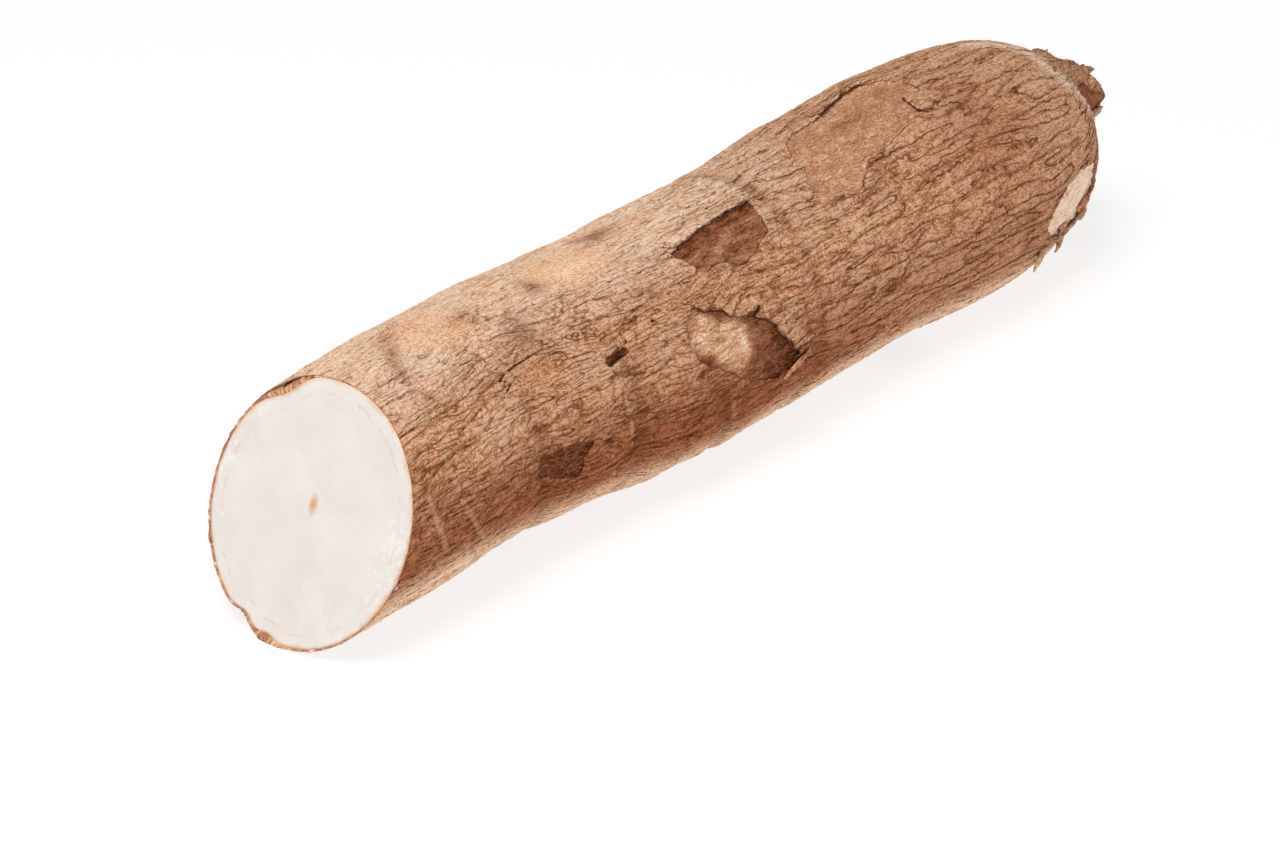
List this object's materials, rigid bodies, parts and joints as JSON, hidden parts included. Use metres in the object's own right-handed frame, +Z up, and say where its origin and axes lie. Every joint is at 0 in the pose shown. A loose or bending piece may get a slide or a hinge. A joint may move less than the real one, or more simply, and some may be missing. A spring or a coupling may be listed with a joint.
{
  "type": "cassava root",
  "caption": "Thick woody-barked root lying on its side, with a slanted knife cut at one end that shows white flesh and a short broken neck at the other.",
  "frame": {"origin": "on the surface that the root lies on, under the middle of its bounding box", "axes": "+X along the root from the cut end to the neck, +Y across it, +Z up"},
  "size_m": [0.329, 0.0706, 0.068],
  "materials": {
    "bark": "dry papery bark, matt, with fine lengthwise scaly ridges and smoother tan patches where it has peeled",
    "flesh": "freshly cut starchy flesh, cream white, slightly moist satin"
  },
  "bodies": {
    "root": {"cassava_root": "bark"}
  },
  "joints": []
}
